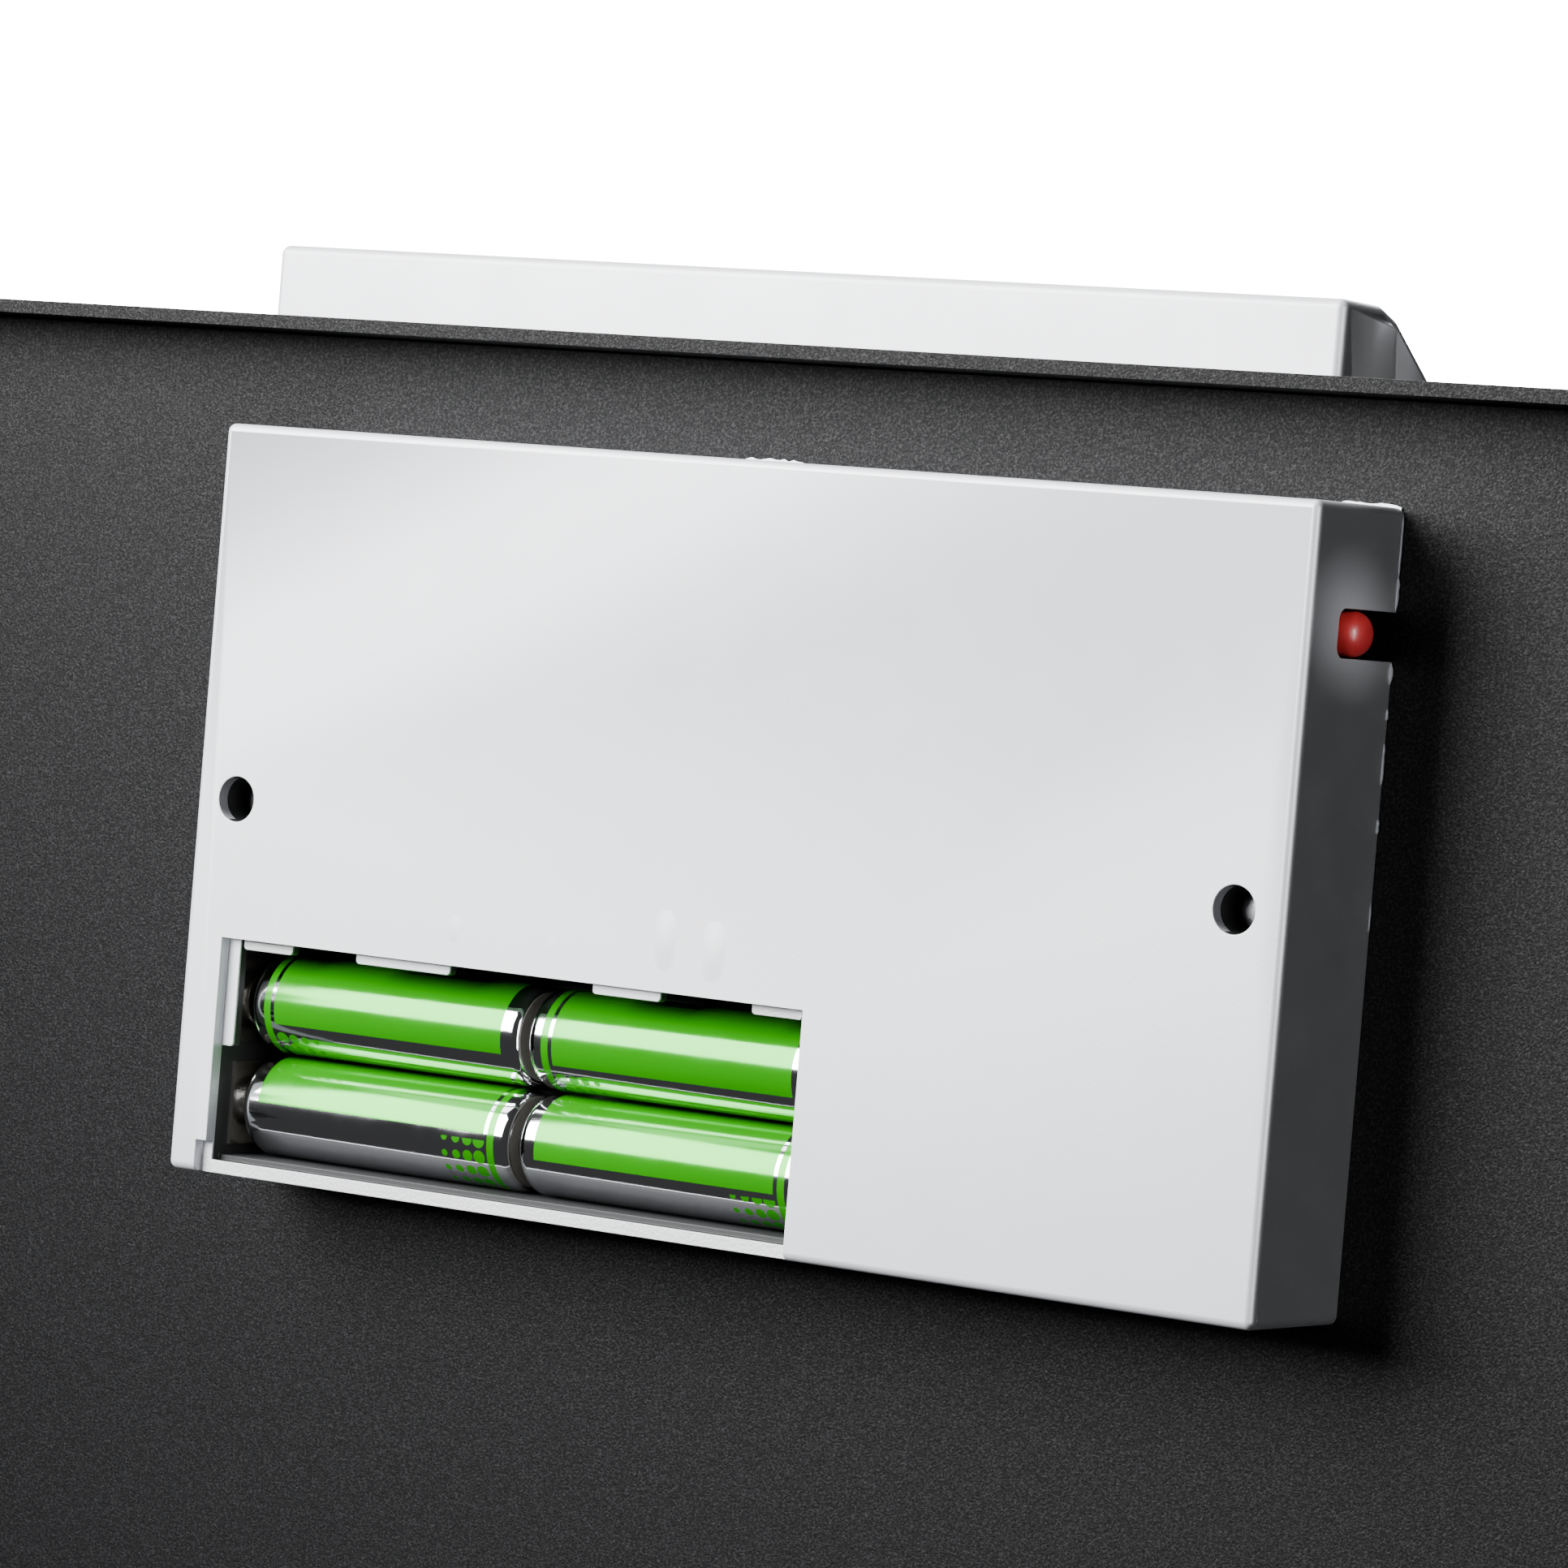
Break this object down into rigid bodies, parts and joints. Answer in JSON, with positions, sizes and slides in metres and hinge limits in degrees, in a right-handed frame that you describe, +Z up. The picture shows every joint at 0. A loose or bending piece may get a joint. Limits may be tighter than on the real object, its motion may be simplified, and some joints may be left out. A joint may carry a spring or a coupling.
{
  "type": "wall safe",
  "caption": "Recessed steel wall safe with a flush hinged door, electronic keypad console, turning knob, locking bolts and a battery housing inside the door.",
  "frame": {"origin": "centre of the back face, which is the centre of the four wall anchor holes", "axes": "+Z up, the closed door faces -Y, the hinges are on the +X side"},
  "size_m": [0.5977, 0.5054, 0.296],
  "materials": {
    "body_paint": "fine textured powder coat, charcoal black",
    "door_paint": "fine textured powder coat, charcoal black",
    "silver_plastic": "satin silver paint on moulded plastic",
    "zinc_steel": "zinc plated",
    "bright_steel": "turned and polished",
    "nickel": "nickel plated",
    "cell_jacket": "mirror film sleeve",
    "red_plastic": "glossy",
    "board": "solder mask",
    "black_plastic": "moulded",
    "ribbon": "grey flat cable",
    "key_plastic": "moulded",
    "lamp": "clear lens",
    "knob_finish": "silver",
    "brass": "turned",
    "felt": "needle felt"
  },
  "bodies": {
    "safe_body": {"body_shell": "body_paint", "front_flange": "body_paint", "floor_mat": "felt", "strike_plate": "zinc_steel", "hinge_frame_upper": "body_paint", "hinge_frame_lower": "body_paint", "hinge_pin_upper": "bright_steel", "hinge_pin_lower": "bright_steel"},
    "door": {"battery_housing": "silver_plastic", "battery_lower_inner": "cell_jacket", "battery_lower_outer": "cell_jacket", "battery_upper_inner": "cell_jacket", "battery_upper_outer": "cell_jacket", "bolt_guides": "zinc_steel", "circuit_board": "board", "console_screws": "zinc_steel", "console_shell": "silver_plastic", "contact_plates": "nickel", "contact_springs": "nickel", "cover_screws": "zinc_steel", "door_pan": "door_paint", "flap_pin": "bright_steel", "hinge_door_lower": "door_paint", "hinge_door_upper": "door_paint", "housing_screws": "zinc_steel", "inner_cover": "door_paint", "keypad_board": "board", "keypad_panel": "black_plastic", "knob_bushing": "black_plastic", "lock_cylinder": "bright_steel", "lock_solenoid": "black_plastic", "reset_switch": "black_plastic", "ribbon_cable": "ribbon", "status_lamps": "lamp"},
    "knob": {"knob": "knob_finish", "knob_spindle": "zinc_steel"},
    "bolt_work": {"bolt_carriage": "zinc_steel", "locking_bolt_lower": "bright_steel", "locking_bolt_upper": "bright_steel"},
    "plunger": {"solenoid_plunger": "zinc_steel"},
    "reset_button": {"reset_button": "red_plastic"},
    "lock_plug": {"lock_plug": "brass"},
    "lock_flap": {"lock_flap": "knob_finish"},
    "key_0": {"key_0": "key_plastic"},
    "key_1": {"key_1": "key_plastic"},
    "key_2": {"key_2": "key_plastic"},
    "key_3": {"key_3": "key_plastic"},
    "key_4": {"key_4": "key_plastic"},
    "key_5": {"key_5": "key_plastic"},
    "key_6": {"key_6": "key_plastic"},
    "key_7": {"key_7": "key_plastic"},
    "key_8": {"key_8": "key_plastic"},
    "key_9": {"key_9": "key_plastic"},
    "key_clear": {"key_clear": "key_plastic"},
    "key_enter": {"key_enter": "key_plastic"}
  },
  "joints": [
    {"name": "door_swing", "type": "hinge", "parent": "safe_body", "child": "door", "pos_m": [0.193, -0.1565, 0], "axis": [0, 0, 1], "range_deg": [-120, 25]},
    {"name": "knob_turn", "type": "hinge", "parent": "door", "child": "knob", "pos_m": [0.33845, -0.35543, 0.04], "axis": [0.866, 0.5, 0], "range_deg": [0, 90]},
    {"name": "bolt_throw", "type": "slide", "parent": "door", "child": "bolt_work", "axis": [0.5, -0.866, 0], "range_m": [0, 0.012]},
    {"name": "plunger_rise", "type": "slide", "parent": "door", "child": "plunger", "axis": [0, 0, 1], "range_m": [0, 0.004]},
    {"name": "reset_press", "type": "slide", "parent": "door", "child": "reset_button", "axis": [-0.5, 0.866, 0], "range_m": [0, 0.002], "stiffness_N_per_m": 400},
    {"name": "lock_plug_turn", "type": "hinge", "parent": "door", "child": "lock_plug", "pos_m": [0.33845, -0.35543, 0.095], "axis": [0.866, 0.5, 0], "range_deg": [0, 90]},
    {"name": "lock_flap_swing", "type": "hinge", "parent": "door", "child": "lock_flap", "pos_m": [0.34105, -0.35393, 0.11], "axis": [0.866, 0.5, 0], "range_deg": [-110, 110]},
    {"name": "key_0_press", "type": "slide", "parent": "door", "child": "key_0", "axis": [-0.866, -0.5, 0], "range_m": [0, 0.001], "stiffness_N_per_m": 500},
    {"name": "key_1_press", "type": "slide", "parent": "door", "child": "key_1", "axis": [-0.866, -0.5, 0], "range_m": [0, 0.001], "stiffness_N_per_m": 500},
    {"name": "key_2_press", "type": "slide", "parent": "door", "child": "key_2", "axis": [-0.866, -0.5, 0], "range_m": [0, 0.001], "stiffness_N_per_m": 500},
    {"name": "key_3_press", "type": "slide", "parent": "door", "child": "key_3", "axis": [-0.866, -0.5, 0], "range_m": [0, 0.001], "stiffness_N_per_m": 500},
    {"name": "key_4_press", "type": "slide", "parent": "door", "child": "key_4", "axis": [-0.866, -0.5, 0], "range_m": [0, 0.001], "stiffness_N_per_m": 500},
    {"name": "key_5_press", "type": "slide", "parent": "door", "child": "key_5", "axis": [-0.866, -0.5, 0], "range_m": [0, 0.001], "stiffness_N_per_m": 500},
    {"name": "key_6_press", "type": "slide", "parent": "door", "child": "key_6", "axis": [-0.866, -0.5, 0], "range_m": [0, 0.001], "stiffness_N_per_m": 500},
    {"name": "key_7_press", "type": "slide", "parent": "door", "child": "key_7", "axis": [-0.866, -0.5, 0], "range_m": [0, 0.001], "stiffness_N_per_m": 500},
    {"name": "key_8_press", "type": "slide", "parent": "door", "child": "key_8", "axis": [-0.866, -0.5, 0], "range_m": [0, 0.001], "stiffness_N_per_m": 500},
    {"name": "key_9_press", "type": "slide", "parent": "door", "child": "key_9", "axis": [-0.866, -0.5, 0], "range_m": [0, 0.001], "stiffness_N_per_m": 500},
    {"name": "key_clear_press", "type": "slide", "parent": "door", "child": "key_clear", "axis": [-0.866, -0.5, 0], "range_m": [0, 0.001], "stiffness_N_per_m": 500},
    {"name": "key_enter_press", "type": "slide", "parent": "door", "child": "key_enter", "axis": [-0.866, -0.5, 0], "range_m": [0, 0.001], "stiffness_N_per_m": 500}
  ],
  "couplings": [
    {"joint": "knob_turn", "follows": "bolt_throw", "rad_per_m": 130.89}
  ]
}
